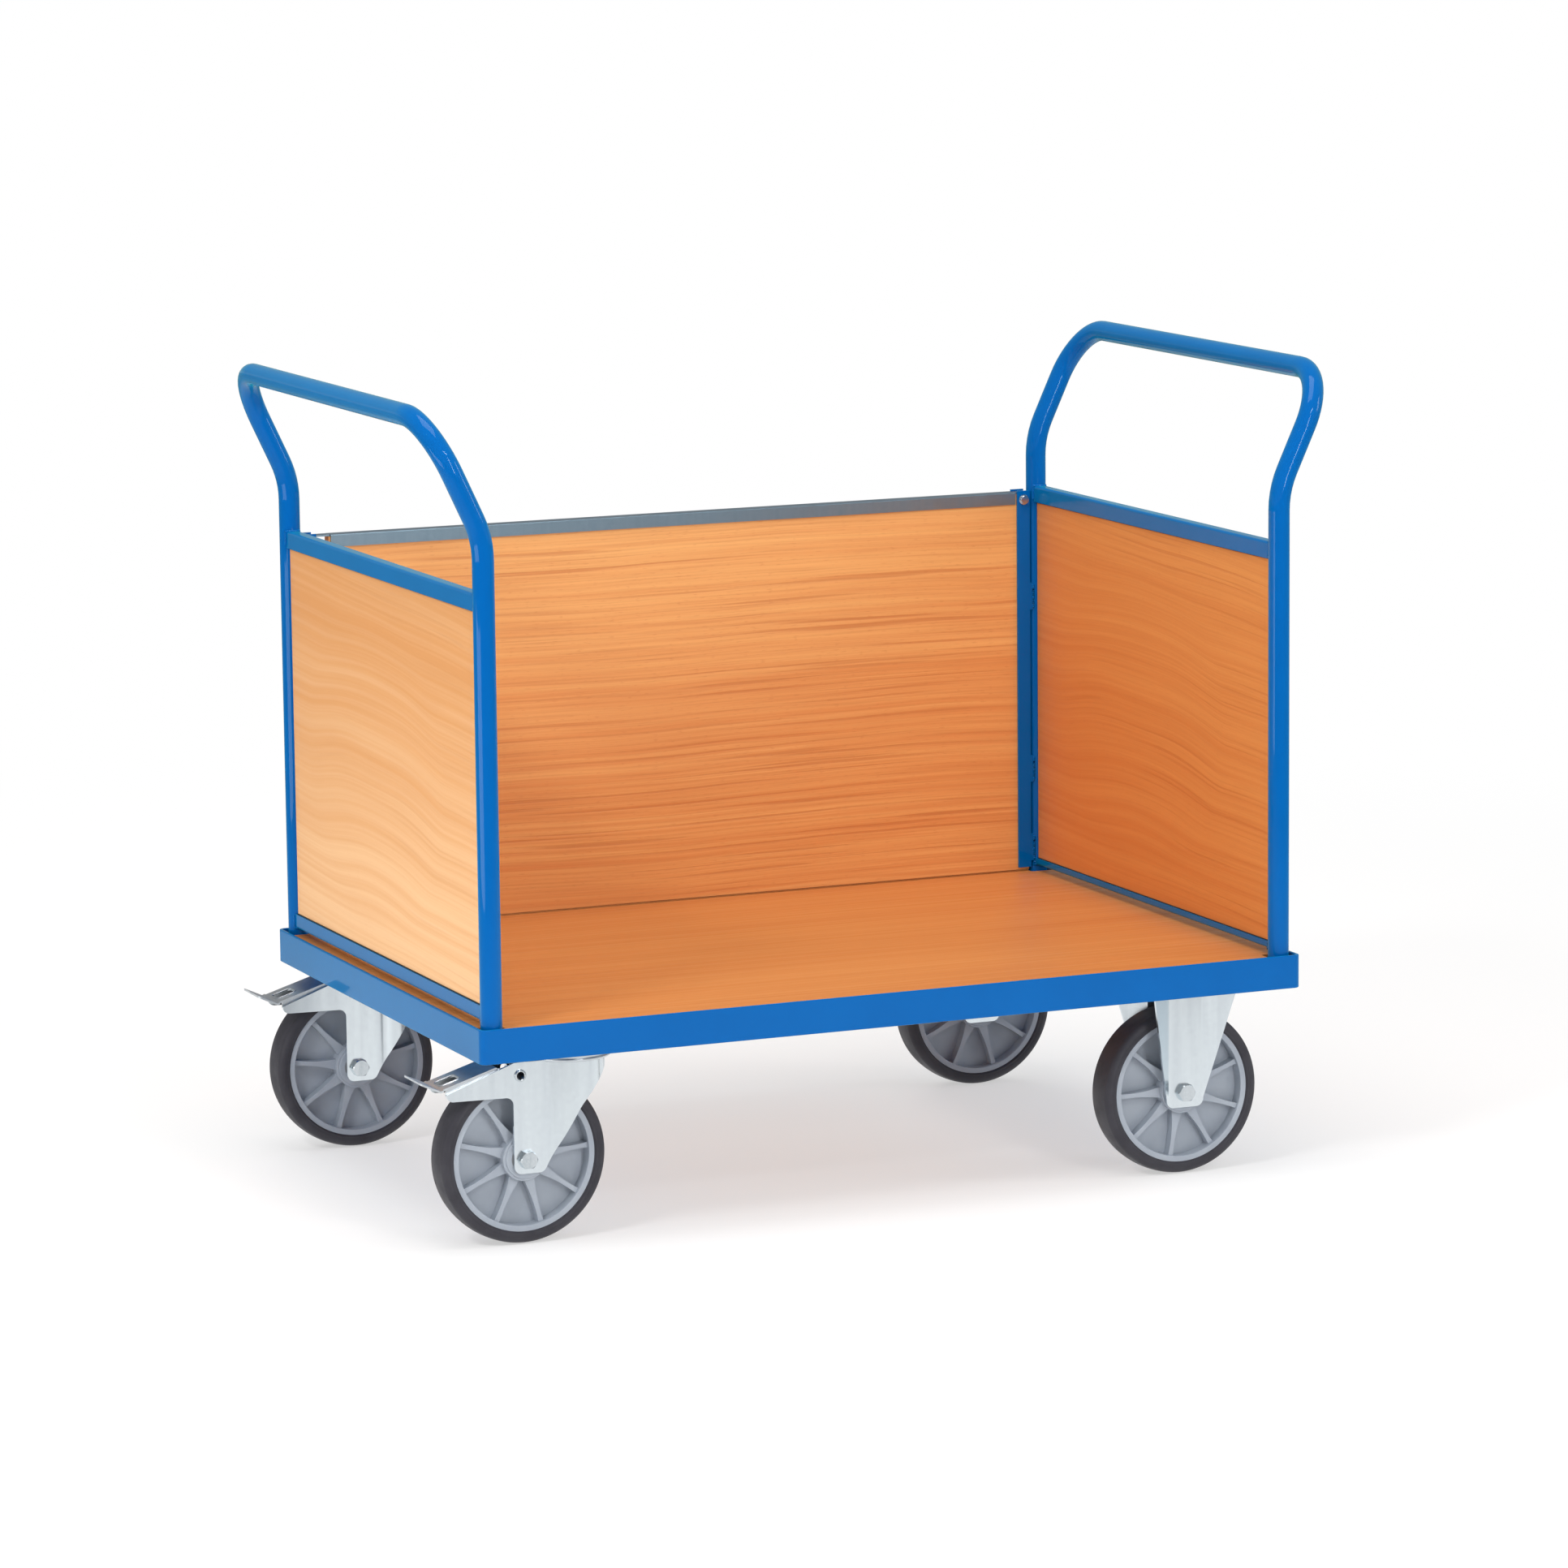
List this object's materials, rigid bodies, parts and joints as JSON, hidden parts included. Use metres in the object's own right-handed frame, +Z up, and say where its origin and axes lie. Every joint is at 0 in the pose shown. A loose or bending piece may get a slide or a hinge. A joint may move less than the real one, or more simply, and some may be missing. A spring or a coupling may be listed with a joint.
{
  "type": "three-sided platform trolley",
  "caption": "Platform trolley with a wooden deck, low wooden walls on both ends and the back, two leaning tube handles, braked swivel castors and fixed castors.",
  "frame": {"origin": "on the floor under the middle of the frame", "axes": "+X along the long side towards the fixed castors, +Y from the open front to the back wall, +Z up"},
  "size_m": [1.1442, 0.7007, 0.9565],
  "materials": {
    "blue_coat": "blue powder coat, satin",
    "board": "board with a beech decor face, satin",
    "galvanised": "galvanised sheet, dull",
    "zinc": "bright zinc plate",
    "ball_steel": "polished bearing steel",
    "tyre": "dark grey thermoplastic rubber, matt",
    "wheel_plastic": "grey moulded plastic",
    "bush_plastic": "natural nylon",
    "seal": "black edge strip"
  },
  "bodies": {
    "chassis": {"back_channel": "galvanised", "back_panel": "board", "castor_nuts": "zinc", "castor_studs": "zinc", "deck_board": "board", "deck_screws": "zinc", "fixed_axle_bolts": "zinc", "fixed_axle_sleeves": "zinc", "frame_front_rail": "blue_coat", "frame_left_rail": "blue_coat", "frame_rear_rail": "blue_coat", "frame_right_rail": "blue_coat", "front_left_swivel_plate": "zinc", "front_right_fixed_fork": "zinc", "left_bottom_rail": "blue_coat", "left_cross_plate": "blue_coat", "left_guides": "blue_coat", "left_handle": "blue_coat", "left_panel": "board", "left_panel_seals": "seal", "left_top_rail": "blue_coat", "rear_left_swivel_plate": "zinc", "rear_right_fixed_fork": "zinc", "right_bottom_rail": "blue_coat", "right_cross_plate": "blue_coat", "right_guides": "blue_coat", "right_handle": "blue_coat", "right_panel": "board", "right_panel_seals": "seal", "right_top_rail": "blue_coat", "swivel_king_pins": "zinc", "swivel_lower_races": "zinc", "wall_bolts": "zinc", "wall_nuts": "zinc", "wall_washers": "zinc"},
    "front_left_fork": {"front_left_swivel_fork": "zinc", "front_left_swivel_balls": "ball_steel", "front_left_axle_bolt": "zinc", "front_left_axle_sleeve": "zinc", "front_left_brake_rivets": "zinc"},
    "front_left_pedal": {"front_left_brake_pedal": "zinc"},
    "rear_left_fork": {"rear_left_swivel_fork": "zinc", "rear_left_swivel_balls": "ball_steel", "rear_left_axle_bolt": "zinc", "rear_left_axle_sleeve": "zinc", "rear_left_brake_rivets": "zinc"},
    "rear_left_pedal": {"rear_left_brake_pedal": "zinc"},
    "front_left_wheel": {"front_left_wheel_core": "wheel_plastic", "front_left_tyre": "tyre", "front_left_wheel_bushes": "bush_plastic"},
    "rear_left_wheel": {"rear_left_wheel_core": "wheel_plastic", "rear_left_tyre": "tyre", "rear_left_wheel_bushes": "bush_plastic"},
    "front_right_wheel": {"front_right_wheel_core": "wheel_plastic", "front_right_tyre": "tyre", "front_right_wheel_bushes": "bush_plastic"},
    "rear_right_wheel": {"rear_right_wheel_core": "wheel_plastic", "rear_right_tyre": "tyre", "rear_right_wheel_bushes": "bush_plastic"}
  },
  "joints": [
    {"name": "front_left_swivel", "type": "hinge", "parent": "chassis", "child": "front_left_fork", "pos_m": [-0.386, -0.283, 0.2], "axis": [0, 0, 1], "continuous": true},
    {"name": "front_left_brake", "type": "hinge", "parent": "front_left_fork", "child": "front_left_pedal", "pos_m": [-0.455, -0.283, 0.1972], "axis": [0, -1, 0], "range_deg": [0, 12]},
    {"name": "rear_left_swivel", "type": "hinge", "parent": "chassis", "child": "rear_left_fork", "pos_m": [-0.386, 0.283, 0.2], "axis": [0, 0, 1], "continuous": true},
    {"name": "rear_left_brake", "type": "hinge", "parent": "rear_left_fork", "child": "rear_left_pedal", "pos_m": [-0.455, 0.283, 0.1972], "axis": [0, -1, 0], "range_deg": [0, 12]},
    {"name": "front_left_roll", "type": "hinge", "parent": "front_left_fork", "child": "front_left_wheel", "pos_m": [-0.448, -0.283, 0.1], "axis": [0, 1, 0], "continuous": true},
    {"name": "rear_left_roll", "type": "hinge", "parent": "rear_left_fork", "child": "rear_left_wheel", "pos_m": [-0.448, 0.283, 0.1], "axis": [0, 1, 0], "continuous": true},
    {"name": "front_right_roll", "type": "hinge", "parent": "chassis", "child": "front_right_wheel", "pos_m": [0.381, -0.283, 0.1], "axis": [0, 1, 0], "continuous": true},
    {"name": "rear_right_roll", "type": "hinge", "parent": "chassis", "child": "rear_right_wheel", "pos_m": [0.381, 0.283, 0.1], "axis": [0, 1, 0], "continuous": true}
  ]
}
